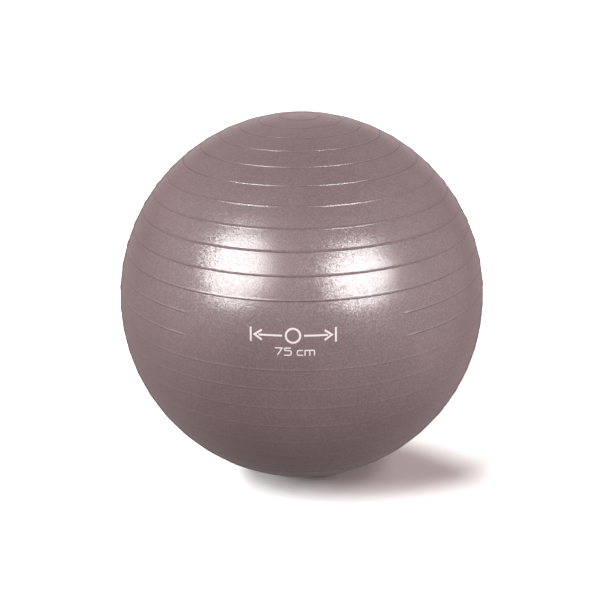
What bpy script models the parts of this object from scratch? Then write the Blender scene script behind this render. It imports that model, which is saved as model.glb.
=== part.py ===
"""Inflated exercise ball, 75 cm: a hollow moulded skin with parallel ribs, a valve seat set in it
and the stopper that closes the valve.

Metres, +Z up. The origin is on the floor, under the middle of the ball. The plain panel faces -Y
and the valve faces +Y. Latitudes and azimuths are in degrees; azimuth 0 is -Y and 90 is +X.
"""

from math import acos, cos, degrees, pi, radians, sin

import bmesh
import bpy
from mathutils import Vector

# Skin: the ball stands a little taller than it is wide.
RADIUS_XY = 0.3715  # half width between ribs
RADIUS_Z = 0.3750  # half height at the poles, before the foot flattens
WALL = 0.0008
FOOT_RADIUS = 0.025  # the flat where the ball bears on the floor
FOOT_LATITUDE = -degrees(acos(FOOT_RADIUS / RADIUS_XY))
CAP_LATITUDE = 87.0  # last row below the top pole
CENTRE_Z = -RADIUS_Z * sin(radians(FOOT_LATITUDE))

# Ribs run round the ball. Rib number: latitude of its crest. Rib 0 is on the parting line.
RIBS = {
    -13: -83.4, -12: -77.2, -11: -71.1, -10: -65.0, -9: -58.9, -8: -52.8, -7: -46.6,
    -6: -40.3, -5: -33.2, -4: -26.0, -3: -19.15, -2: -12.45, -1: -6.15,
    0: -0.2,
    1: 6.3, 2: 12.7, 3: 19.05, 4: 25.6, 5: 32.15, 6: 38.5, 7: 45.2,
    8: 51.85, 9: 58.5, 10: 65.1, 11: 71.5, 12: 77.6, 13: 84.0,
}
# From the parting line down the ribs are flatter and wider.
RIB_HEIGHT = 0.0010
LOW_RIB_HEIGHT = 0.00055
RIB_REACH = (0.0036, 0.0021)  # how far a rib reaches above and below its crest
LOW_RIB_REACH = (0.0044, 0.0036)
# Ribs near the top are narrower. Rib number: share of the full reach.
NARROWING = {8: 0.8, 9: 0.7, 10: 0.6, 11: 0.6, 12: 0.6, 13: 0.6}

# Plain panel: these ribs stop short of it on either side.
PANEL_RIBS = (1, 2)
PANEL_HALF_ANGLE = 32.5
PANEL_RIB_END = 1.2  # angle over which a rib runs out

# Columns of the skin's grid, on each side of the ball
PANEL_COLUMNS = 4
SIDE_COLUMNS = 14
VALVE_COLUMNS = (172.1, 176.0, 178.0)  # azimuths

# Valve: heights are measured outwards from the skin's outer surface along the valve's axis.
VALVE_LATITUDE = 9.642857142857142  # about halfway between ribs 1 and 2
VALVE_AZIMUTH = 180.0
ROUND_SEGMENTS = 32
HOLE_RADIUS = 0.0130
HOLE_CUTTER_REACH = 0.02  # either side of the surface

# Valve seat: collar in the hole, flange behind the skin, stem into the ball
COLLAR_RADIUS = 0.0127
COLLAR_TOP = 0.0004
COLLAR_BEVEL_WIDTH = 0.0005
COLLAR_BEVEL_HEIGHT = 0.0004
FLANGE_RADIUS = 0.0180
FLANGE_INNER_Z = -0.00140  # flange's outward face where it meets the collar
FLANGE_RIM_Z = -0.00162  # the same face at the rim
FLANGE_BOTTOM = -0.0032
FLANGE_BEVEL = 0.0005
STEM_RADIUS = 0.0076
STEM_FLARE = 0.0012  # width and height, where the stem meets the flange
STEM_TIP_RADIUS = 0.0070
STEM_TIP_BEVEL = 0.0006
STEM_END = -0.0250
RECESS_RADIUS = 0.0086
RECESS_FLOOR = -0.0025
RECESS_BEVEL = 0.0005
BORE_RADIUS = 0.0046

# Notch in the seat
NOTCH_RADIUS = 0.0030
NOTCH_OFFSET = RECESS_RADIUS + 0.0004  # from the valve's axis to the notch's
NOTCH_FLOOR = RECESS_FLOOR + 0.0004
NOTCH_CUTTER_TOP = 0.004

# Plug: a barbed shaft under a slightly crowned head
HEAD_RADIUS = 0.0083
HEAD_BOTTOM = -0.0022
HEAD_BOTTOM_BEVEL = 0.0003
HEAD_TOP = -0.0001
HEAD_TOP_BEVEL = 0.0005
HEAD_CROWN = 0.0003
CROWN_MID_RADIUS = HEAD_RADIUS * 0.5
CROWN_MID_DROP = 0.0001  # how far the crown has fallen at its mid radius
SHAFT_RADIUS = 0.0040
SHAFT_END = -0.0235
SHAFT_TIP_RADIUS = 0.0027
SHAFT_TIP_LENGTH = 0.0035
SHAFT_TIP_STEP = 0.0002  # how much slimmer than the shaft the tip's upper end is
BARB_COUNT = 3
BARB_PITCH = 0.0048
HIGHEST_BARB_TOP = -0.0070
BARB_RADIUS = 0.00445
BARB_LENGTH = 0.0030
BARB_CREST_DEPTHS = (0.0009, 0.0004)  # lower and upper edge of its crest, below its top

# Materials
SKIN_FINISH = {"colour": (0.275, 0.205, 0.205), "roughness": 0.36}
SEAT_FINISH = {"colour": (0.24, 0.18, 0.18), "roughness": 0.45}
PLUG_FINISH = {"colour": (0.72, 0.71, 0.69), "roughness": 0.4}
CUTTER_FINISH = {"colour": (0.5, 0.5, 0.5), "roughness": 0.5}

# Edges that turn by more than this many degrees are shaded sharp.
SHARP_ANGLE = 35.0
SKIN_SHARP_ANGLE = 60.0


# Shared helpers

def make_material(name, colour, roughness):
    material = bpy.data.materials.new(name)
    material.use_nodes = True
    inputs = material.node_tree.nodes["Principled BSDF"].inputs
    inputs["Base Color"].default_value = (*colour, 1.0)
    inputs["Roughness"].default_value = roughness
    inputs["Metallic"].default_value = 0.0
    return material


def make_object(name, bm, finish, parent=None, sharp_angle=SHARP_ANGLE):
    mesh = bpy.data.meshes.new(name)
    bm.to_mesh(mesh)
    bm.free()
    mesh.shade_smooth()
    mesh.set_sharp_from_angle(angle=radians(sharp_angle))
    mesh.materials.append(make_material(name + "_material", **finish))
    obj = bpy.data.objects.new(name, mesh)
    bpy.context.scene.collection.objects.link(obj)
    obj.parent = parent
    return obj


def turn_profile(profile):
    """A solid turned about Z from (radius, height) points.

    With +Z up and the axis on the left the points run anticlockwise. A radius of 0 makes a pole.
    A profile that starts off the axis closes on itself and makes a ring-shaped solid.
    """
    bm = bmesh.new()
    angles = [2 * pi * i / ROUND_SEGMENTS for i in range(ROUND_SEGMENTS)]
    rings = []
    for radius, height in profile:
        if radius == 0.0:
            points = [(0.0, 0.0, height)]
        else:
            points = [(radius * cos(angle), radius * sin(angle), height) for angle in angles]
        rings.append([bm.verts.new(point) for point in points])
    pairs = list(zip(rings, rings[1:]))
    if profile[0][0] != 0.0:
        pairs.append((rings[-1], rings[0]))
    for ring, following in pairs:
        for i in range(ROUND_SEGMENTS):
            j = (i + 1) % ROUND_SEGMENTS
            if len(ring) == 1:
                bm.faces.new((ring[0], following[j], following[i]))
            elif len(following) == 1:
                bm.faces.new((ring[i], ring[j], following[0]))
            else:
                bm.faces.new((ring[i], ring[j], following[j], following[i]))
    return bm


def cylinder_profile(radius, bottom, top):
    return [(0.0, bottom), (radius, bottom), (radius, top), (0.0, top)]


def cut_with(target, cutter):
    cutter.hide_render = True
    cutter.display_type = "WIRE"
    cut = target.modifiers.new("cut_" + cutter.name, "BOOLEAN")
    cut.operation = "DIFFERENCE"
    cut.solver = "EXACT"
    cut.object = cutter


# The ball's surface

def unit_direction(latitude, azimuth):
    lat, az = radians(latitude), radians(azimuth)
    return cos(lat) * sin(az), -cos(lat) * cos(az), sin(lat)


def surface_normal(latitude, azimuth):
    x, y, z = unit_direction(latitude, azimuth)
    return Vector((x / RADIUS_XY, y / RADIUS_XY, z / RADIUS_Z)).normalized()


def surface_point(latitude, azimuth, offset=0.0):
    """A point on the ball, raised by offset along the surface's normal."""
    x, y, z = unit_direction(latitude, azimuth)
    point = Vector((RADIUS_XY * x, RADIUS_XY * y, RADIUS_Z * z + CENTRE_Z))
    return point + surface_normal(latitude, azimuth) * offset


# Skin

def crest_height(rib, azimuth):
    """Height of a grid row: 0 off the crests (rib None), and the panel's ribs run out at it."""
    if rib is None:
        return 0.0
    full = RIB_HEIGHT if rib > 0 else LOW_RIB_HEIGHT
    if rib not in PANEL_RIBS:
        return full
    from_panel_middle = abs((azimuth + 180.0) % 360.0 - 180.0)
    share = (from_panel_middle - PANEL_HALF_ANGLE) / PANEL_RIB_END
    return full * min(1.0, max(0.0, share))


def grid_azimuths():
    side = [PANEL_HALF_ANGLE * (i + 1) / PANEL_COLUMNS for i in range(PANEL_COLUMNS)]
    first = PANEL_HALF_ANGLE + PANEL_RIB_END
    step = (VALVE_COLUMNS[0] - first) / SIDE_COLUMNS
    side += [first + step * i for i in range(SIDE_COLUMNS)]
    side += VALVE_COLUMNS
    return [0.0] + side + [180.0] + [-azimuth for azimuth in reversed(side)]


def outer_rows():
    """(latitude, rib number on a crest or None elsewhere), upwards from the foot's edge."""
    rows = [(FOOT_LATITUDE, None), (VALVE_LATITUDE, None), (CAP_LATITUDE, None)]
    for rib, latitude in RIBS.items():
        reaches = RIB_REACH if rib > 0 else LOW_RIB_REACH
        scale = NARROWING.get(rib, 1.0)
        above, below = [degrees(reach * scale / RADIUS_Z) for reach in reaches]
        rows += [(latitude - below, None), (latitude, rib), (latitude + above, None)]
    return sorted(rows, key=lambda row: row[0])


def add_shell(bm, rings, bottom, top, outward):
    """A closed surface from rings of points, with a fan over each end."""
    loops = [[bm.verts.new(point) for point in ring] for ring in rings]
    low, high = bm.verts.new(bottom), bm.verts.new(top)
    count = len(loops[0])

    def add_face(*corners):
        bm.faces.new(corners if outward else corners[::-1])

    for i in range(count):
        j = (i + 1) % count
        add_face(low, loops[0][j], loops[0][i])
        for lower, upper in zip(loops, loops[1:]):
            add_face(lower[i], lower[j], upper[j], upper[i])
        add_face(loops[-1][i], loops[-1][j], high)


def make_skin():
    azimuths = grid_azimuths()
    outer = [
        [surface_point(latitude, azimuth, crest_height(rib, azimuth)) for azimuth in azimuths]
        for latitude, rib in outer_rows()
    ]
    inner_rows = sorted([FOOT_LATITUDE, VALVE_LATITUDE, CAP_LATITUDE, *RIBS.values()])
    inner = [
        [surface_point(latitude, azimuth, -WALL) for azimuth in azimuths]
        for latitude in inner_rows
    ]
    for point in inner[0]:  # level the inside of the foot
        point.z = WALL
    bm = bmesh.new()
    add_shell(bm, outer, Vector((0, 0, 0)), surface_point(90.0, 0.0), outward=True)
    add_shell(bm, inner, Vector((0, 0, WALL)), surface_point(90.0, 0.0, -WALL), outward=False)
    return make_object("ball_skin", bm, SKIN_FINISH, sharp_angle=SKIN_SHARP_ANGLE)


# Valve

def make_valve_axis():
    """An empty on the skin's surface: its +Z points straight out of the ball, its +Y upwards."""
    axis = bpy.data.objects.new("valve_axis", None)
    bpy.context.scene.collection.objects.link(axis)
    axis.location = surface_point(VALVE_LATITUDE, VALVE_AZIMUTH)
    axis.rotation_mode = "QUATERNION"
    normal = surface_normal(VALVE_LATITUDE, VALVE_AZIMUTH)
    axis.rotation_quaternion = normal.to_track_quat("Z", "Y")
    return axis


def cut_valve_hole(skin, axis):
    bm = turn_profile(cylinder_profile(HOLE_RADIUS, -HOLE_CUTTER_REACH, HOLE_CUTTER_REACH))
    cut_with(skin, make_object("valve_hole_cutter", bm, CUTTER_FINISH, axis))


def make_seat(axis):
    profile = [
        (BORE_RADIUS, RECESS_FLOOR),
        (BORE_RADIUS, STEM_END),
        (STEM_TIP_RADIUS - STEM_TIP_BEVEL, STEM_END),
        (STEM_TIP_RADIUS, STEM_END + STEM_TIP_BEVEL),
        (STEM_RADIUS, FLANGE_BOTTOM - STEM_FLARE),
        (STEM_RADIUS + STEM_FLARE, FLANGE_BOTTOM),
        (FLANGE_RADIUS - FLANGE_BEVEL, FLANGE_BOTTOM),
        (FLANGE_RADIUS, FLANGE_BOTTOM + FLANGE_BEVEL),
        (FLANGE_RADIUS, FLANGE_RIM_Z),
        (COLLAR_RADIUS, FLANGE_INNER_Z),
        (COLLAR_RADIUS, COLLAR_TOP - COLLAR_BEVEL_HEIGHT),
        (COLLAR_RADIUS - COLLAR_BEVEL_WIDTH, COLLAR_TOP),
        (RECESS_RADIUS + RECESS_BEVEL, COLLAR_TOP),
        (RECESS_RADIUS, COLLAR_TOP - RECESS_BEVEL),
        (RECESS_RADIUS, RECESS_FLOOR),
    ]
    return make_object("valve_seat", turn_profile(profile), SEAT_FINISH, axis)


def make_plug(axis):
    profile = [
        (0.0, SHAFT_END),
        (SHAFT_TIP_RADIUS, SHAFT_END),
        (SHAFT_RADIUS - SHAFT_TIP_STEP, SHAFT_END + SHAFT_TIP_LENGTH),
    ]
    for i in reversed(range(BARB_COUNT)):
        top = HIGHEST_BARB_TOP - BARB_PITCH * i
        profile.append((SHAFT_RADIUS, top - BARB_LENGTH))
        profile += [(BARB_RADIUS, top - depth) for depth in BARB_CREST_DEPTHS]
        profile.append((SHAFT_RADIUS, top))
    profile += [
        (SHAFT_RADIUS, HEAD_BOTTOM),
        (HEAD_RADIUS - HEAD_BOTTOM_BEVEL, HEAD_BOTTOM),
        (HEAD_RADIUS, HEAD_BOTTOM + HEAD_BOTTOM_BEVEL),
        (HEAD_RADIUS, HEAD_TOP - HEAD_TOP_BEVEL),
        (HEAD_RADIUS - HEAD_TOP_BEVEL, HEAD_TOP),
        (CROWN_MID_RADIUS, HEAD_CROWN - CROWN_MID_DROP),
        (0.0, HEAD_CROWN),
    ]
    make_object("valve_plug", turn_profile(profile), PLUG_FINISH, axis)


def cut_notch(seat, axis):
    """Below the plug, a notch in the collar lets a fingernail under the plug's head."""
    bm = turn_profile(cylinder_profile(NOTCH_RADIUS, NOTCH_FLOOR, NOTCH_CUTTER_TOP))
    bmesh.ops.translate(bm, verts=bm.verts, vec=Vector((0.0, -NOTCH_OFFSET, 0.0)))
    cut_with(seat, make_object("valve_notch_cutter", bm, CUTTER_FINISH, axis))


for old_object in list(bpy.data.objects):
    bpy.data.objects.remove(old_object, do_unlink=True)

ball_skin = make_skin()
valve_axis = make_valve_axis()
cut_valve_hole(ball_skin, valve_axis)
valve_seat = make_seat(valve_axis)
make_plug(valve_axis)
cut_notch(valve_seat, valve_axis)
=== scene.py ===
"""Looks of a 75 cm exercise ball: ribbed pearly vinyl skin, printed panel, valve seat and stopper.

The ball rests on the floor at z = 0, its axis on +Z. The printed panel faces -Y, the valve +Y.
"""

import bmesh
import bpy
import numpy as np
from math import acos, asin, cos, degrees, pi, radians, sin, sqrt, tan
from mathutils import Matrix, Quaternion, Vector


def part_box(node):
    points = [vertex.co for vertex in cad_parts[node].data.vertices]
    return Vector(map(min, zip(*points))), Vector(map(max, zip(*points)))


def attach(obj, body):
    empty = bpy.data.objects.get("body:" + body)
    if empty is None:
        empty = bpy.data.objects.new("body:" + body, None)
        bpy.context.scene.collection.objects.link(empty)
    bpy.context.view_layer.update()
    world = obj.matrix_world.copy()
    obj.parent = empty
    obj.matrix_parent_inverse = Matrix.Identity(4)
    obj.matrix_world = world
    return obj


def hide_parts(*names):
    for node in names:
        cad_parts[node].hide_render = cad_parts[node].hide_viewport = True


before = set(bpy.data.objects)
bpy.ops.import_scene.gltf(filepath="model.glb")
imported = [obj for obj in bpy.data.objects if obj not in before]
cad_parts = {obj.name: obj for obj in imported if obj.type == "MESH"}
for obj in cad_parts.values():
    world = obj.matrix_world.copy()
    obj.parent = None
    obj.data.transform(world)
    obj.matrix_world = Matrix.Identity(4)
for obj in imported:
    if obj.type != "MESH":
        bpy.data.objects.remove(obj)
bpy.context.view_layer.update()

# ------------------------------------------------------------ the ball's sizes, metres and degrees
RIB_HEIGHT = 0.0010
LOW_RIB_HEIGHT = 0.00055  # ribs 0 and below are flatter
RIB_REACH = (0.0036, 0.0021)  # how far a rib reaches above and below its crest
LOW_RIB_REACH = (0.0044, 0.0036)
RIBS = {  # rib number: latitude of its crest
    -13: -83.4, -12: -77.2, -11: -71.1, -10: -65.0, -9: -58.9, -8: -52.8, -7: -46.6,
    -6: -40.3, -5: -33.2, -4: -26.0, -3: -19.15, -2: -12.45, -1: -6.15, 0: -0.2,
    1: 6.3, 2: 12.7, 3: 19.05, 4: 25.6, 5: 32.15, 6: 38.5, 7: 45.2,
    8: 51.85, 9: 58.5, 10: 65.1, 11: 71.5, 12: 77.6, 13: 84.0,
}
TOP_RIB_SCALES = {  # rib number: (reach, height); ribs near the top are narrower and worn down
    7: (1.0, 0.9), 8: (0.8, 0.8), 9: (0.7, 0.72),
    10: (0.6, 0.7), 11: (0.6, 0.7), 12: (0.6, 0.7), 13: (0.6, 0.7),
}
PANEL_RIBS = (1, 2)  # these two stop at the panel's ends
PANEL_HALF_ANGLE = 32.5
PANEL_FADE = 1.1  # angle over which a rib dies out there
FOOT_RADIUS = 0.025
FOOT_FADE = 2.2  # latitudes over which the relief grows from the flat foot
BAND_BULGE = 0.00012
BAND_EDGES = np.array([-90.0, *RIBS.values(), 96.4])  # the last band runs on past the pole
WALL = 0.0008
OUTER_SEGMENTS, INNER_SEGMENTS, INNER_ROWS = 288, 96, 44

# Slow unevenness of the skin: (waves round the ball, waves up it, phase, size)
WAVES = (
    (3, 2.0, 0.4, 0.16),
    (5, 3.7, 2.1, 0.12),
    (8, 5.1, 4.0, 0.08),
    (13, 7.3, 1.2, 0.05),
    (11, 9.7, 5.3, 0.05),
    (19, 12.1, 0.9, 0.03),
)
WAVE_HEIGHT = 0.001
WAVE_SWAY = 1.3  # how much a wave's phase sways with latitude

# Radii of the plain ellipsoid, level and upright, from the CAD skin
low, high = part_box("ball_skin")
RX = (high.y - low.y) / 2 - LOW_RIB_HEIGHT
FOOT_SINE = sqrt(1 - (FOOT_RADIUS / RX) ** 2)
RZ = high.z / (1 + FOOT_SINE)
CENTRE = Vector((0, 0, RZ * FOOT_SINE))
FOOT_LATITUDE = -degrees(asin(FOOT_SINE))


# ------------------------------------------------------------ the ball's surface
def normal_at(latitude, azimuth):
    lat, turn = np.radians(latitude), np.radians(azimuth)
    normal = np.stack(
        [np.cos(lat) * np.sin(turn) / RX, -np.cos(lat) * np.cos(turn) / RX,
         np.sin(lat) / RZ + 0 * turn],
        -1,
    )
    return normal / np.linalg.norm(normal, axis=-1, keepdims=True)


def point_at(latitude, azimuth, offset=0.0):
    """Points on the ball, raised by offset along its normal. Azimuth 0 is -Y. Takes arrays."""
    latitude, azimuth = np.broadcast_arrays(
        np.asarray(latitude, float), np.asarray(azimuth, float)
    )
    lat, turn = np.radians(latitude), np.radians(azimuth)
    base = np.stack(
        [RX * np.cos(lat) * np.sin(turn), -RX * np.cos(lat) * np.cos(turn),
         RZ * np.sin(lat) + CENTRE.z],
        -1,
    )
    return base + normal_at(latitude, azimuth) * np.asarray(offset, float)[..., None]


def smooth(t):
    t = np.clip(t, 0, 1)
    return t * t * (3 - 2 * t)


def waves(latitude, azimuth):
    """Slight unevenness of an inflated skin, in metres; it joins up at 360 degrees."""
    lat, turn = np.radians(latitude), np.radians(azimuth)
    total = 0.0
    for i, (around, upward, phase, size) in enumerate(WAVES):
        sway = WAVE_SWAY * np.sin(upward * lat + i)
        total = total + size * np.sin(around * turn + phase + sway) * np.cos(
            upward * lat + phase * i
        )
    return WAVE_HEIGHT * total * np.cos(lat) ** 2


def bulge(latitude):
    """Each band between ribs bulges by a hair, because the ribs are stiffer than the skin."""
    band = np.interp(latitude, BAND_EDGES, np.arange(len(BAND_EDGES)))
    return BAND_BULGE * np.sin(pi * band) ** 2


def rib_size(rib):
    """Height, and reach above and below the crest."""
    above, below = RIB_REACH if rib > 0 else LOW_RIB_REACH
    reach_scale, height_scale = TOP_RIB_SCALES.get(rib, (1.0, 1.0))
    height = (RIB_HEIGHT if rib > 0 else LOW_RIB_HEIGHT) * height_scale
    return height, above * reach_scale, below * reach_scale


def panel_fade(rib, azimuth):
    """0 where the panel interrupts the rib, 1 elsewhere."""
    if rib not in PANEL_RIBS:
        return 1.0
    away = np.abs(np.mod(azimuth + 180, 360) - 180)
    return smooth((away - PANEL_HALF_ANGLE) / PANEL_FADE)


def foot_fade(latitude):
    """0 at the foot, which is pressed flat, and 1 above it."""
    return smooth((latitude - FOOT_LATITUDE) / FOOT_FADE)


def outer_offset(latitude, azimuth):
    """Height of the skin above the plain ellipsoid, in metres."""
    latitude, azimuth = np.broadcast_arrays(
        np.asarray(latitude, float), np.asarray(azimuth, float)
    )
    total = waves(latitude, azimuth) + bulge(latitude)
    for rib, crest in RIBS.items():
        height, above, below = rib_size(rib)
        t = np.radians(latitude - crest) * RZ
        t = np.where(t > 0, t / above, -t / below)
        profile = 1 - np.sin(pi / 2 * np.clip(t, 0, 1))
        total = total + height * panel_fade(rib, azimuth) * profile
    return total * foot_fade(latitude)


def inner_offset(latitude, azimuth):
    return waves(latitude, azimuth) * foot_fade(latitude) - WALL


def painted_crease_shade(latitude, azimuth):
    """Mask of painted shade: up to 1 in the fold under each upper rib, and 0 on open skin."""
    total = np.zeros_like(latitude)
    for rib, crest in RIBS.items():
        if rib > 0:
            _, _, below = rib_size(rib)
            t = np.radians(latitude - crest) * RZ / below  # -1 is the rib's lower edge
            fold = smooth((t + 1.3) / 0.6) * smooth((0.1 - t) / 0.5)
            depth = 1.0 if rib > 7 else 0.45
            total = np.maximum(total, fold * panel_fade(rib, azimuth) * depth)
    return total


# Rows of points, as shares of a rib's reach below and above its crest, and of an open band
ROWS_BELOW = (-1.3, -1.0, -0.8, -0.6, -0.4, -0.2, -0.06, 0.0)
ROWS_ABOVE = (0.05, 0.2, 0.4, 0.6, 0.8, 1.0, 1.2)
ROWS_BETWEEN = (0.2, 0.4, 0.6, 0.8)
ROWS_AT_FOOT = (0.0, 0.25, 0.8, 1.5)  # degrees above the foot


def outer_latitudes():
    """Rows of points crowded on the ribs."""
    rows = [FOOT_LATITUDE + rise for rise in ROWS_AT_FOOT]
    lower = None
    for rib, crest in RIBS.items():
        _, above, below = rib_size(rib)
        above, below = degrees(above / RZ), degrees(below / RZ)
        if lower is not None:
            upper = crest - below * 1.3
            rows += [lower + (upper - lower) * share for share in ROWS_BETWEEN]
        rows += [crest + below * share for share in ROWS_BELOW]
        rows += [crest + above * share for share in ROWS_ABOVE]
        lower = crest + above * 1.2
    rows += [lower + (90.0 - lower) * share for share in ROWS_BETWEEN]
    return rows


def shell(latitudes, count, offset, base_height, start=0):
    """Points and outward faces of a closed shell. start is the index of its first point."""
    latitudes = np.array(latitudes)[:, None]
    azimuths = (np.arange(count) * 360.0 / count)[None, :]
    grid = point_at(latitudes, azimuths, offset(latitudes, azimuths))
    grid[0, :, 2] = base_height
    rows = len(latitudes)
    top_point = point_at(90.0, 0.0, offset(90.0, 0.0))
    points = np.concatenate([grid.reshape(-1, 3), [(0, 0, base_height)], [top_point]])
    bottom, top = start + rows * count, start + rows * count + 1
    faces = []
    for i in range(count):
        j = (i + 1) % count
        faces.append((bottom, start + j, start + i))
        for row in range(rows - 1):
            first = start + row * count
            faces.append((first + i, first + j, first + count + j, first + count + i))
        last = start + (rows - 1) * count
        faces.append((last + i, last + j, top))
    return points, faces


# ------------------------------------------------------------ objects
def set_shading(mesh, sharp_angle):
    mesh.shade_smooth()
    mesh.set_sharp_from_angle(angle=radians(sharp_angle))


def new_object(name, mesh, material, sharp_angle):
    set_shading(mesh, sharp_angle)
    obj = bpy.data.objects.new(name, mesh)
    bpy.context.scene.collection.objects.link(obj)
    if material:
        mesh.materials.append(material)
    return obj


def mesh_from_bmesh(name, bm):
    mesh = bpy.data.meshes.new(name)
    bm.to_mesh(mesh)
    bm.free()
    return mesh


def cut(target, cutter, sharp_angle):
    """Takes cutter out of target, for good."""
    bpy.context.view_layer.objects.active = target
    modifier = target.modifiers.new("cut", "BOOLEAN")
    modifier.operation = "DIFFERENCE"
    modifier.solver = "EXACT"
    modifier.object = cutter
    depsgraph = bpy.context.evaluated_depsgraph_get()
    mesh = bpy.data.meshes.new_from_object(target.evaluated_get(depsgraph))
    target.modifiers.clear()
    old = target.data
    target.data = mesh
    mesh.name = target.name
    bpy.data.meshes.remove(old)
    bpy.data.objects.remove(cutter, do_unlink=True)
    set_shading(mesh, sharp_angle)


# ------------------------------------------------------------ shader node helpers
def feed(tree, socket, value):
    """Links value to the socket if it is a socket itself, or else sets it."""
    if isinstance(value, bpy.types.NodeSocket):
        tree.links.new(value, socket)
    else:
        socket.default_value = value


def add(tree, kind, inputs=None, **settings):
    """Adds a node. inputs maps socket names or numbers to values or to the sockets feeding them."""
    node = tree.nodes.new("ShaderNode" + kind)
    for key, value in settings.items():
        setattr(node, key, value)
    for key, value in (inputs or {}).items():
        feed(tree, node.inputs[key], value)
    return node


def new_material(name):
    """A material, its node tree and its Principled shader."""
    material = bpy.data.materials.new(name)
    material.use_nodes = True
    tree = material.node_tree
    return material, tree, tree.nodes["Principled BSDF"]


def set_shader(tree, shader, inputs):
    for key, value in inputs.items():
        feed(tree, shader.inputs[key], value)


def object_coords(tree):
    return add(tree, "TexCoord").outputs["Object"]


def noise(tree, place, scale, detail):
    inputs = {"Vector": place, "Scale": scale, "Detail": detail}
    return add(tree, "TexNoise", inputs).outputs["Fac"]


def bump(tree, height, distance):
    return add(tree, "Bump", {"Height": height, "Distance": distance}).outputs["Normal"]


def ramp(tree, value, stops):
    """stops: (position, colour)."""
    node = add(tree, "ValToRGB", {"Fac": value})
    while len(node.color_ramp.elements) < len(stops):
        node.color_ramp.elements.new(0.5)
    for element, (position, colour) in zip(node.color_ramp.elements, stops):
        element.position = position
        element.color = (*colour, 1.0)
    return node.outputs["Color"]


def map_range(tree, value, start=(0.0, 1.0), to=(0.0, 1.0), interpolation="LINEAR"):
    inputs = {
        "Value": value, "From Min": start[0], "From Max": start[1],
        "To Min": to[0], "To Max": to[1],
    }
    node = add(tree, "MapRange", inputs, interpolation_type=interpolation)
    return node.outputs["Result"]


def number_math(tree, operation, *values):
    return add(tree, "Math", dict(enumerate(values)), operation=operation).outputs["Value"]


def vector_math(tree, operation, *values, output="Vector"):
    node = add(tree, "VectorMath", dict(enumerate(values)), operation=operation)
    return node.outputs[output]


def scaled(tree, vector, factor):
    inputs = {0: vector, "Scale": factor}
    return add(tree, "VectorMath", inputs, operation="SCALE").outputs["Vector"]


# ------------------------------------------------------------ materials
MAUVE = (0.252, 0.192, 0.192)


def pearl_normal(tree, place, flake_colour, grain):
    """Soft pebbles about 5 mm across, and flakes that each mirror a lamp or miss it."""
    pebbles = bump(tree, noise(tree, place, scale=330.0, detail=1.0), distance=0.00012 * grain)
    lean = vector_math(tree, "SUBTRACT", flake_colour, (0.5, 0.5, 0.5))
    leaning = vector_math(tree, "MULTIPLY_ADD", lean, (0.066 * grain,) * 3, pebbles)
    return vector_math(tree, "NORMALIZE", leaning)


def pearl_colour(tree, clouds, flake_value, edge_on, deeper):
    """Cloudy mauve with brighter flakes, with painted shade in the folds under the upper ribs, and
    darker where seen nearly edge on.
    """
    dark = tuple(c * 0.90 * deeper for c in MAUVE)
    light = tuple(c * 1.10 * deeper for c in MAUVE)
    tone = ramp(tree, clouds, [(0.25, dark), (0.75, light)])
    spark = ramp(
        tree, flake_value,
        [(0.0, (0.88, 0.88, 0.88)), (0.8, (1.06, 1.06, 1.06)), (1.0, (1.20, 1.19, 1.19))],
    )
    mix = add(
        tree, "Mix", data_type="RGBA", blend_type="MULTIPLY",
        inputs={"Factor": 1.0, "A": tone, "B": spark},
    )
    # painted shade: the colour is darkened in the folds under the upper ribs
    fold = add(tree, "Attribute", attribute_name="painted_crease_shade").outputs["Fac"]
    painted_fold_shade = map_range(tree, fold, to=(1.0, 0.45))
    flop = map_range(tree, edge_on, (0.03, 0.17), (0.12, 1.0), "SMOOTHSTEP")
    return scaled(tree, mix.outputs["Result"], number_math(tree, "MULTIPLY", flop, painted_fold_shade))


def pearl_vinyl(name, roughness, grain=1.0, deeper=1.0):
    """Satin vinyl with a pearly pigment. grain scales its relief, deeper its brightness."""
    material, tree, shader = new_material(name)
    place = object_coords(tree)
    flakes = add(tree, "TexVoronoi", {"Vector": place, "Scale": 560.0}).outputs["Color"]
    flake_value = add(tree, "SeparateColor", {"Color": flakes}).outputs["Red"]
    clouds = noise(tree, place, scale=6.0, detail=4.0)
    geometry = add(tree, "NewGeometry").outputs
    edge_on = vector_math(
        tree, "DOT_PRODUCT", geometry["Normal"], geometry["Incoming"], output="Value"
    )
    shine = map_range(tree, flake_value, to=(0.28, 0.70))
    # the skin mirrors less towards the rim, so the rim keeps its own colour
    satin = map_range(tree, edge_on, start=(0.36, 0.80), interpolation="SMOOTHSTEP")
    set_shader(tree, shader, {
        "Normal": pearl_normal(tree, place, flakes, grain),
        "Base Color": pearl_colour(tree, clouds, flake_value, edge_on, deeper),
        "Roughness": map_range(tree, clouds, to=(roughness - 0.02, roughness + 0.03)),
        "Specular IOR Level": number_math(tree, "MULTIPLY", shine, satin),
        "IOR": 1.52,
        "Sheen Weight": 0.36,
        "Sheen Roughness": 0.42,
        "Sheen Tint": (1.0, 0.92, 0.92, 1),
    })
    return material


def printed_ink(name):
    material, tree, shader = new_material(name)
    mottle = noise(tree, object_coords(tree), scale=700.0, detail=3.0)
    set_shader(tree, shader, {
        "Base Color": ramp(tree, mottle, [(0.3, (0.90, 0.88, 0.88)), (0.7, (0.98, 0.96, 0.96))]),
        "Normal": bump(tree, mottle, distance=0.00005),
        "Roughness": 0.42,
    })
    return material


def moulded_plastic(name):
    """Off-white polyethylene: faint flow marks and a fine spark-eroded texture."""
    material, tree, shader = new_material(name)
    place = object_coords(tree)
    fine = noise(tree, place, scale=2600.0, detail=2.0)
    flow = noise(tree, place, scale=140.0, detail=3.0)
    set_shader(tree, shader, {
        "Base Color": ramp(tree, flow, [(0.3, (0.66, 0.645, 0.62)), (0.7, (0.74, 0.73, 0.71))]),
        "Normal": bump(tree, fine, distance=0.00003),
        "Roughness": 0.38,
        "Subsurface Weight": 0.15,
        "Subsurface Scale": 0.002,
    })
    return material


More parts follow.
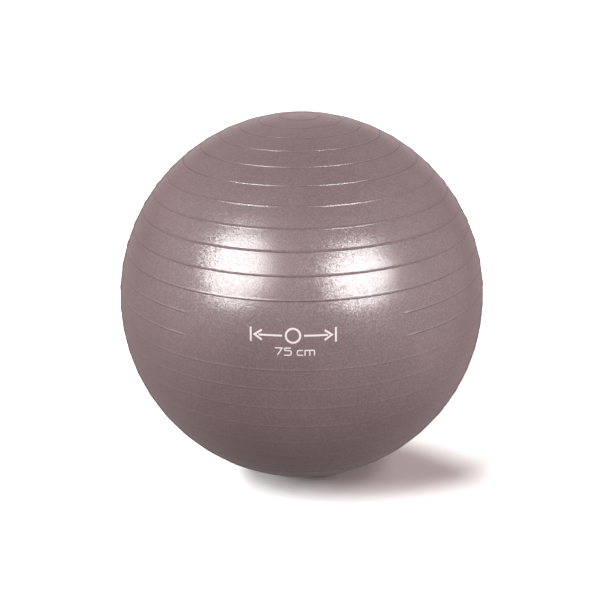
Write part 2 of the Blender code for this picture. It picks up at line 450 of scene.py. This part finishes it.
# ------------------------------------------------------------ valve, in its own axes
# Local +Z points out of the ball and local z = 0 is the plain ellipsoid.
VALVE_LATITUDE = 9.642857
VALVE_AZIMUTH = 180.0
VALVE_NORMAL = Vector(normal_at(VALVE_LATITUDE, VALVE_AZIMUTH))
VALVE_FRAME = (
    Matrix.Translation(Vector(point_at(VALVE_LATITUDE, VALVE_AZIMUTH)))
    @ VALVE_NORMAL.to_track_quat("Z", "Y").to_matrix().to_4x4()
)
HOLE_RADIUS, HOLE_HALF_DEPTH = 0.01275, 0.01
COLLAR_RADIUS, COLLAR_TOP = 0.0127, 0.0004
GROOVE_FLOOR = COLLAR_TOP - 0.0003
RECESS_RADIUS, RECESS_FLOOR = 0.0086, -0.0025
BORE_RADIUS, STEM_END = 0.0046, -0.0250
FLANGE_RADIUS, FLANGE_UNDERSIDE = 0.0180, -0.0032
NOTCH_RADIUS, NOTCH_TOP = 0.0030, 0.004
NOTCH_FLOOR = RECESS_FLOOR + 0.0004
NOTCH_OUT = RECESS_RADIUS + 0.0004  # from the valve's axis to the notch's

# Profiles: (radius, height, corner radius)
SEAT_PROFILE = [
    (BORE_RADIUS, RECESS_FLOOR, 0.0003),
    (BORE_RADIUS, STEM_END, 0.0003),
    (0.0070, STEM_END, 0.0008),
    (0.0076, -0.0044, 0.0012),
    (0.0088, FLANGE_UNDERSIDE, 0.0006),
    (FLANGE_RADIUS, FLANGE_UNDERSIDE, 0.0006),
    (FLANGE_RADIUS, -0.00162, 0.0002),
    (COLLAR_RADIUS, -0.00140, 0.0001),
    (COLLAR_RADIUS, COLLAR_TOP, 0.0006),
    (0.0113, COLLAR_TOP, 0.0002),
    (0.0111, GROOVE_FLOOR, 0.0002),
    (0.0105, GROOVE_FLOOR, 0.0002),
    (0.0103, COLLAR_TOP, 0.0002),
    (RECESS_RADIUS, COLLAR_TOP, 0.0004),
    (RECESS_RADIUS, RECESS_FLOOR, 0.0003),
]
SHANK_RADIUS, BARB_RADIUS, CAP_RADIUS = 0.0040, 0.00445, 0.0083
TIP_END, CAP_UNDERSIDE = -0.0235, -0.0022
BARB_TOPS = (-0.0166, -0.0118, -0.0070)
PLUG_TIP = [(0, TIP_END, 0), (0.0027, TIP_END, 0.0005), (0.0038, -0.0200, 0.0005)]
PLUG_CAP = [
    (SHANK_RADIUS, CAP_UNDERSIDE, 0.0003),
    (CAP_RADIUS, CAP_UNDERSIDE, 0.0003),
    (CAP_RADIUS, -0.0001, 0.0006),
    (0.0066, 0.0000, 0.0004),
    (0.0063, -0.0003, 0.0002),
    (0.0056, -0.0003, 0.0002),
    (0.0053, 0.0001, 0.0004),
    (0.0030, 0.00025, 0.001),
    (0, 0.0003, 0),
]


def bend(start, corner, end, parts):
    """Points along a curve from start to end that is drawn towards corner."""
    shares = [k / parts for k in range(parts + 1)]
    return [start * (1 - t) ** 2 + corner * 2 * t * (1 - t) + end * t * t for t in shares]


def rounded(profile):
    """Turns (radius, height, corner radius) points into a polyline with rounded corners."""
    out = []
    count = len(profile)
    for i, (radius, height, corner_radius) in enumerate(profile):
        if corner_radius <= 0:
            out.append((radius, height))
            continue
        here = Vector((radius, height))
        back = Vector(profile[i - 1][:2]) - here
        ahead = Vector(profile[(i + 1) % count][:2]) - here
        to_back, to_ahead = back.normalized(), ahead.normalized()
        half = acos(max(-1, min(1, to_back.dot(to_ahead)))) / 2
        reach = min(corner_radius / tan(half), 0.45 * back.length, 0.45 * ahead.length)
        curve = bend(here + to_back * reach, here, here + to_ahead * reach, parts=4)
        out += [(q.x, q.y) for q in curve]
    return out


def turned(name, profile, material, count=128):
    """A solid turned about the valve's axis. A profile off the axis closes on itself."""
    bm = bmesh.new()
    rings = []
    for radius, z in rounded(profile):
        if radius == 0.0:
            rings.append([bm.verts.new((0, 0, z))])
            continue
        angles = [2 * pi * i / count for i in range(count)]
        rings.append([bm.verts.new((radius * cos(a), radius * sin(a), z)) for a in angles])
    pairs = list(zip(rings, rings[1:]))
    if profile[0][0] != 0.0:
        pairs.append((rings[-1], rings[0]))
    for ring, following in pairs:
        for i in range(count):
            j = (i + 1) % count
            if len(ring) == 1:
                bm.faces.new((ring[0], following[j], following[i]))
            elif len(following) == 1:
                bm.faces.new((ring[i], ring[j], following[0]))
            else:
                bm.faces.new((ring[i], ring[j], following[j], following[i]))
    mesh = mesh_from_bmesh(name, bm)
    mesh.transform(VALVE_FRAME)
    return new_object(name, mesh, material, sharp_angle=40)


def cylinder_cutter(name, radius, bottom, top, count):
    profile = [(0, bottom, 0), (radius, bottom, 0), (radius, top, 0), (0, top, 0)]
    return turned(name, profile, None, count)


def build_skin(material):
    """Outer and inner shell, with the valve's hole cut through, and the mask of painted fold shade.
    """
    points, faces = shell(outer_latitudes(), OUTER_SEGMENTS, outer_offset, base_height=0.0)
    inner_rows = [FOOT_LATITUDE, *np.linspace(FOOT_LATITUDE + 2, 88, INNER_ROWS)]
    inner_points, inner_faces = shell(
        inner_rows, INNER_SEGMENTS, inner_offset, base_height=WALL, start=len(points)
    )
    faces += [tuple(reversed(face)) for face in inner_faces]
    mesh = bpy.data.meshes.new("ball_skin_vinyl")
    mesh.from_pydata([tuple(p) for p in np.concatenate([points, inner_points])], [], faces)
    mesh.validate()
    mesh.update()
    skin = new_object("ball_skin_vinyl", mesh, material, sharp_angle=75)
    hole = cylinder_cutter("hole_cutter", HOLE_RADIUS, -HOLE_HALF_DEPTH, HOLE_HALF_DEPTH, 96)
    cut(skin, hole, sharp_angle=75)

    places = np.empty(len(skin.data.vertices) * 3, "f")
    skin.data.vertices.foreach_get("co", places)
    places = places.reshape(-1, 3) - np.array(CENTRE)
    latitude = np.degrees(np.arcsin(np.clip(places[:, 2] / RZ, -1, 1)))
    azimuth = np.degrees(np.arctan2(places[:, 0], -places[:, 1]))
    # mask of painted shade in the folds under the upper ribs, read by the skin's colour
    attribute = skin.data.attributes.new("painted_crease_shade", "FLOAT", "POINT")
    attribute.data.foreach_set("value", painted_crease_shade(latitude, azimuth).astype("f"))
    return skin


def build_seat(material):
    """Stem, flange and grooved collar, with a round notch in the recess's wall at local -Y."""
    seat = turned("valve_seat_insert", SEAT_PROFILE, material)
    notch = cylinder_cutter("notch_cutter", NOTCH_RADIUS, NOTCH_FLOOR, NOTCH_TOP, 64)
    shift = Matrix.Translation((0, -NOTCH_OUT, 0))
    notch.data.transform(VALVE_FRAME @ shift @ VALVE_FRAME.inverted())
    cut(seat, notch, sharp_angle=40)
    return seat


def build_plug(material):
    """Stopper: tapered tip, barbed shank and a flat cap with a shallow ring groove."""
    barbs = []
    for top in BARB_TOPS:
        barbs += [
            (SHANK_RADIUS, top - 0.0030, 0.0002),
            (BARB_RADIUS, top - 0.0009, 0.0003),
            (BARB_RADIUS, top - 0.0004, 0.0002),
            (SHANK_RADIUS, top, 0.0002),
        ]
    return turned("valve_stopper", PLUG_TIP + barbs + PLUG_CAP, material)


# ------------------------------------------------------------ print on the panel
# Panel coordinates, metres: x runs right and y up, from latitude 0 at azimuth 0.
INK_TOP, INK_BOTTOM = 0.00022, -0.00030  # from the skin between the ribs
PATH_STEP = 0.0025


def ink_verts(bm, points, lift):
    """Vertices at panel points, lifted from the skin."""
    points = np.array(points, float)
    latitude = np.degrees(points[:, 1] / RZ)
    azimuth = np.degrees(points[:, 0] / (RX * np.cos(np.radians(latitude))))
    rise = waves(latitude, azimuth) + bulge(latitude)
    return [bm.verts.new(q) for q in point_at(latitude, azimuth, rise + lift)]


def ink_plate(bm, outline):
    """A thin closed plate of ink from an outline."""
    top = ink_verts(bm, outline, INK_TOP)
    bottom = ink_verts(bm, outline, INK_BOTTOM)
    bm.faces.new(top)
    bm.faces.new(list(reversed(bottom)))
    for i in range(len(outline)):
        j = (i + 1) % len(outline)
        bm.faces.new((bottom[i], bottom[j], top[j], top[i]))


def ink_strip(bm, path, width, closed=False):
    """A thin closed strip of ink along a path of x, y points."""
    points = np.array(path, float)
    count = len(points)
    if closed:
        ahead = np.roll(points, -1, 0) - points
        behind = points - np.roll(points, 1, 0)
    else:
        ahead = np.vstack([points[1:] - points[:-1], points[-1:] - points[-2:-1]])
        behind = np.vstack([ahead[:1], points[1:] - points[:-1]])
    ahead /= np.linalg.norm(ahead, axis=1, keepdims=True)
    behind /= np.linalg.norm(behind, axis=1, keepdims=True)
    along = ahead + behind
    along /= np.linalg.norm(along, axis=1, keepdims=True)
    side = np.stack([-along[:, 1], along[:, 0]], 1)
    across = np.stack([-ahead[:, 1], ahead[:, 0]], 1)
    # mitred corners keep the strip's width, up to a limit
    reach = width / 2 / np.maximum(0.5, (side * across).sum(1))
    left, right = points + side * reach[:, None], points - side * reach[:, None]
    edges = ((left, INK_TOP), (right, INK_TOP), (right, INK_BOTTOM), (left, INK_BOTTOM))
    loops = [ink_verts(bm, edge, lift) for edge, lift in edges]
    for i in range(count if closed else count - 1):
        j = (i + 1) % count
        for k in range(4):
            m = (k + 1) % 4
            bm.faces.new((loops[k][i], loops[m][i], loops[m][j], loops[k][j]))
    if not closed:
        bm.faces.new([loops[k][0] for k in (3, 2, 1, 0)])
        bm.faces.new([loops[k][-1] for k in (0, 1, 2, 3)])


def line(*corners, corner_radius=0.0):
    """A path through corners, rounded, with a point about every PATH_STEP."""
    corners = [Vector(c) for c in corners]
    out = [corners[0]]
    for before, corner, after in zip(corners, corners[1:], corners[2:]):
        back, ahead = before - corner, after - corner
        reach = min(corner_radius, 0.48 * back.length, 0.48 * ahead.length)
        if reach < 1e-6:
            out.append(corner)
            continue
        start = corner + back.normalized() * reach
        out += bend(start, corner, corner + ahead.normalized() * reach, parts=8)
    out.append(corners[-1])
    fine = [out[0]]
    for a, b in zip(out, out[1:]):
        length = (b - a).length
        if length > 1e-7:
            parts = max(1, int(length / PATH_STEP + 0.5))
            fine += [a.lerp(b, (k + 1) / parts) for k in range(parts)]
    return [(q.x, q.y) for q in fine]


def circle(x, y, radius, count=72):
    angles = [2 * pi * k / count for k in range(count)]
    return [(x + radius * cos(a), y + radius * sin(a)) for a in angles]


def arc(x, y, radius, start, end, count=8):
    angles = [radians(start + (end - start) * k / count) for k in range(count + 1)]
    return [(x + radius * cos(a), y + radius * sin(a)) for a in angles]


def ink_piece(name, bm, material):
    bmesh.ops.recalc_face_normals(bm, faces=bm.faces)
    bmesh.ops.triangulate(bm, faces=[f for f in bm.faces if len(f.verts) > 4])
    return new_object(name, mesh_from_bmesh(name, bm), material, sharp_angle=30)


# Width sign; x sizes are measured from the panel's middle
SIGN_Y = 0.0640
RING_RADIUS, RING_STROKE, ARROW_STROKE = 0.0125, 0.0036, 0.0034
SHAFT_START, SHAFT_END = 0.0190, 0.0610
HEAD_BACK, HEAD_TIP, HEAD_HALF_HEIGHT = 0.0550, 0.0680, 0.0090
BAR_X, BAR_HALF_HEIGHT = 0.0750, 0.0130


def build_width_sign(material):
    """A ball's outline between two arrows, each pointing at an upright bar."""
    bm = bmesh.new()
    ink_strip(bm, circle(0.0, SIGN_Y, RING_RADIUS), RING_STROKE, closed=True)
    head_top, head_bottom = SIGN_Y + HEAD_HALF_HEIGHT, SIGN_Y - HEAD_HALF_HEIGHT
    bar_top, bar_bottom = SIGN_Y + BAR_HALF_HEIGHT, SIGN_Y - BAR_HALF_HEIGHT
    for side in (-1, 1):
        back = side * HEAD_BACK
        for corners in (
            ((side * SHAFT_START, SIGN_Y), (side * SHAFT_END, SIGN_Y)),
            ((back, head_top), (side * HEAD_TIP, SIGN_Y), (back, head_bottom)),
            ((side * BAR_X, bar_top), (side * BAR_X, bar_bottom)),
        ):
            ink_strip(bm, line(*corners), ARROW_STROKE)
    return ink_piece("print_width_sign", bm, material)


# Size mark "75 cm" in plain stroke figures
MARK_Y = 0.0285
STROKE, TALL, LOW = 0.0021, 0.0131, 0.0089  # line width, height of figures and of letters
FIVE_WAIST = 0.0086
SEVEN_X = -0.0318
FIVE_X = SEVEN_X + 0.0160
C_X = FIVE_X + 0.0232
M_X = C_X + 0.0134
M_WIDTH, M_RADIUS = 0.0165, 0.0038  # between the outer strokes' middles; top right corner
STROKED_SIGNS = (  # left end, corner radius, corners from the left end and foot line
    (SEVEN_X, 0.0, ((0, TALL), (0.0125, TALL), (0.0042, 0))),
    (FIVE_X, 0.0030, (
        (0.0120, TALL), (0.0008, TALL), (0.0008, FIVE_WAIST),
        (0.0122, FIVE_WAIST), (0.0122, 0), (0, 0),
    )),
    (C_X, 0.0032, ((0.0098, LOW), (0, LOW), (0, 0), (0.0098, 0))),
)


def letter_m():
    """Outline of the m: three legs under a bar, round at both top corners."""
    half = STROKE / 2
    base = MARK_Y - half
    top = MARK_Y + (LOW + half)
    under = top - STROKE  # underside of the bar
    mid = M_X + M_WIDTH / 2
    right = M_X + M_WIDTH
    inner_radius = M_RADIUS - STROKE
    left_radius = M_RADIUS * 0.6
    inner_arc = arc(right - half - inner_radius, top - M_RADIUS, inner_radius, 0, 90)
    return [
        (M_X - half, base), (M_X + half, base), (M_X + half, under),
        (mid - half, under), (mid - half, base), (mid + half, base), (mid + half, under),
        *reversed(inner_arc),
        (right - half, base), (right + half, base),
        *arc(right + half - M_RADIUS, top - M_RADIUS, M_RADIUS, 0, 90),
        *arc(M_X - half + left_radius, top - left_radius, left_radius, 90, 180),
    ]


def build_size_mark(material):
    bm = bmesh.new()
    for left, corner_radius, corners in STROKED_SIGNS:
        placed = [(left + x, MARK_Y + y) for x, y in corners]
        ink_strip(bm, line(*placed, corner_radius=corner_radius), STROKE)
    ink_plate(bm, letter_m())
    return ink_piece("print_size_mark", bm, material)


# ------------------------------------------------------------ building the ball
skin_material = pearl_vinyl("skin_vinyl", roughness=0.25)
seat_material = pearl_vinyl("seat_vinyl", roughness=0.36, grain=0.35, deeper=0.88)
ink_material = printed_ink("white_ink")
plug_material = moulded_plastic("plug_plastic")

skin = build_skin(skin_material)
seat = build_seat(seat_material)
plug = build_plug(plug_material)
sign = build_width_sign(ink_material)
mark = build_size_mark(ink_material)

for piece in (skin, seat, sign, mark):
    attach(piece, "ball")
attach(plug, "plug")
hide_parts("ball_skin")
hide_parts("valve_seat")
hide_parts("valve_plug")

# ------------------------------------------------------------ studio
CAMERA_AZIMUTH = 2.5
CAMERA_ELEVATION = 21.0
CAMERA_ROLL = -0.012  # radians
CAMERA_DISTANCE = 6.0 * 0.5 * (RX + RZ)
# The camera aims a little left of and below the ball's middle, in shares of its distance
AIM_LEFT, AIM_DOWN = 0.00167028, 0.00510362
FLOOR_GREY = 0.045
FLOOR_RADIUS = 60.0

# The studio's soft surroundings, as broad lobes of light, which the ball mirrors and is lit by:
# (azimuth from the camera's side, elevation, brightness)
LOBES = (
    (-95, 20, 1.08),
    (-60, 30, 1.06),
    (5, 30, 1.24),
    (60, 10, 0.84),
    (95, 14, 0.88),
    (140, 10, 0.30),
    (-150, 10, 0.15),
    (180, 12, 0.40),
)
LOBE_POWER = 4.0  # higher is narrower
AMBIENT = 0.045  # brightness outside the lobes
TINT = (1.0, 0.90, 0.91)

# Lamps for the floor alone, so bright that the open floor is plain white and only the place
# they all miss, under the ball and to its right, keeps a soft shade:
# (azimuth from the camera's side, elevation, spread, weight, colour)
WHITE = (1, 1, 1)
WARM = (1.0, 0.82, 0.82)
FLOOR_LAMPS = (
    (-151, 25, 16, 1.72, WHITE),
    (-47, 46, 18, 0.91, WHITE),
    (-57, 28, 16, 0.67, WHITE),
    (75, 28, 16, 0.29, WARM),
    (64, 49, 14, 0.17, WARM),
    (110, 50, 14, 0.09, WARM),
)

scene = bpy.context.scene
lit = bpy.data.collections.new("lit_ball")
ground = bpy.data.collections.new("lit_floor")
scene.collection.children.link(lit)
scene.collection.children.link(ground)


def out_from(azimuth, elevation, distance):
    """A place round the ball. Azimuth is 0 at the camera and grows to the camera's right."""
    turn, rise = radians(azimuth + CAMERA_AZIMUTH), radians(elevation)
    direction = Vector((sin(turn) * cos(rise), -cos(turn) * cos(rise), sin(rise)))
    return CENTRE + direction * distance


def aim(obj, at):
    obj.rotation_mode = "QUATERNION"
    obj.rotation_quaternion = (at - obj.location).to_track_quat("-Z", "Y")


def new_lamp(name, kind, energy, place, receivers):
    """A lamp aimed at the ball's middle that lights only the receivers."""
    data = bpy.data.lights.new(name, kind)
    data.energy = energy
    lamp = bpy.data.objects.new(name, data)
    scene.collection.objects.link(lamp)
    lamp.location = place
    aim(lamp, CENTRE)
    lamp.light_linking.receiver_collection = receivers
    return lamp


def softbox(name, place, width, height, radiance, shine=True, shade=True):
    """An oval lamp for the ball. shine: it is reflected; shade: it lights matt surfaces."""
    lamp = new_lamp(name, "AREA", radiance * pi * width * height * pi / 4, place, lit)
    lamp.data.shape = "ELLIPSE"
    lamp.data.size = width
    lamp.data.size_y = height
    lamp.visible_camera = False
    lamp.visible_glossy = shine
    lamp.visible_diffuse = shade


def surroundings(tree, direction):
    """Brightness of the surroundings along a direction, as a colour socket."""
    total = AMBIENT
    for azimuth, elevation, brightness in LOBES:
        towards = (out_from(azimuth, elevation, 1.0) - CENTRE).normalized()
        facing = vector_math(tree, "DOT_PRODUCT", direction, towards, output="Value")
        front = number_math(tree, "MAXIMUM", facing, 0.0)
        lobe = number_math(tree, "POWER", front, LOBE_POWER)
        total = number_math(tree, "MULTIPLY_ADD", lobe, brightness, total)
    return scaled(tree, TINT, total)


def pale_floor():
    """Grey to the camera, the surroundings to every other ray, and clear from below."""
    material, tree, shader = new_material("pale_floor")
    set_shader(tree, shader, {
        "Roughness": 1.0,
        "Specular IOR Level": 0.0,
        "Base Color": (FLOOR_GREY, FLOOR_GREY, FLOOR_GREY, 1),
        "Emission Color": (1.0, 0.64, 0.64, 1),  # the shade on the floor is a little warm
        "Emission Strength": 0.050,
    })
    camera_ray = add(tree, "LightPath").outputs["Is Camera Ray"]
    geometry = add(tree, "NewGeometry").outputs
    from_ball = vector_math(tree, "SUBTRACT", geometry["Position"], CENTRE)
    outward = vector_math(tree, "NORMALIZE", from_ball)
    dim = add(tree, "Emission", {"Color": surroundings(tree, outward)})
    clear = add(tree, "BsdfTransparent")
    by_ray = add(tree, "MixShader", {
        "Fac": camera_ray, 1: dim.outputs["Emission"], 2: shader.outputs["BSDF"],
    })
    by_side = add(tree, "MixShader", {
        "Fac": geometry["Backfacing"], 1: by_ray.outputs["Shader"], 2: clear.outputs["BSDF"],
    })
    feed(tree, tree.nodes["Material Output"].inputs["Surface"], by_side.outputs["Shader"])
    return material


def build_floor():
    bm = bmesh.new()
    bmesh.ops.create_circle(
        bm, cap_ends=True, cap_tris=False, radius=FLOOR_RADIUS, segments=96
    )
    mesh = mesh_from_bmesh("floor", bm)
    floor = bpy.data.objects.new("floor", mesh)
    scene.collection.objects.link(floor)
    ground.objects.link(floor)
    mesh.materials.append(pale_floor())


def build_world():
    """Plain white to the camera, the surroundings to every other ray."""
    world = bpy.data.worlds.new("studio")
    scene.world = world
    world.use_nodes = True
    tree = world.node_tree
    camera_ray = add(tree, "LightPath").outputs["Is Camera Ray"]
    direction = add(tree, "TexCoord").outputs["Generated"]
    seen = add(tree, "Mix", data_type="RGBA", inputs={
        "Factor": camera_ray, "A": surroundings(tree, direction), "B": (1.0, 1.0, 1.0, 1),
    })
    set_shader(tree, tree.nodes["Background"], {"Color": seen.outputs["Result"], "Strength": 1.0})


def build_camera():
    data = bpy.data.cameras.new("camera")
    data.sensor_width = 36.0
    data.lens = 64.66
    data.clip_end = 200
    camera = bpy.data.objects.new("camera", data)
    scene.collection.objects.link(camera)
    camera.location = out_from(0, CAMERA_ELEVATION, CAMERA_DISTANCE)
    view = (CENTRE - camera.location).normalized()
    right = view.cross(Vector((0, 0, 1))).normalized()
    above = right.cross(view)
    aim(camera, CENTRE - (right * AIM_LEFT + above * AIM_DOWN) * CAMERA_DISTANCE)
    roll = Quaternion((0, 0, 1), CAMERA_ROLL)
    camera.rotation_quaternion = camera.rotation_quaternion @ roll
    scene.camera = camera


for piece in (skin, seat, plug, sign, mark):
    lit.objects.link(piece)

# Two big window-like lamps give two bright patches on the front; a low lamp behind lifts
# the far side.
softbox(
    "shine_left", out_from(azimuth=-43.5, elevation=30.2, distance=2.4),
    width=1.55, height=1.70, radiance=19.0, shade=False,
)
softbox(
    "shine_right", out_from(azimuth=37, elevation=26.8, distance=2.4),
    width=1.58, height=1.36, radiance=20.0, shade=False,
)
softbox(
    "fill_rear", out_from(azimuth=180, elevation=6, distance=3.0),
    width=3.3, height=1.7, radiance=6.0, shine=False,
)

build_floor()
for i, (azimuth, elevation, spread, weight, colour) in enumerate(FLOOR_LAMPS):
    place = out_from(azimuth, elevation, distance=4.0)
    lamp = new_lamp(f"floor_lamp_{i}", "SUN", weight * pi / FLOOR_GREY, place, ground)
    lamp.data.angle = radians(spread)
    lamp.data.color = colour
build_world()
build_camera()

scene.view_settings.view_transform = "Standard"
scene.view_settings.look = "None"
scene.view_settings.exposure = 0.0
scene.view_settings.gamma = 1.0
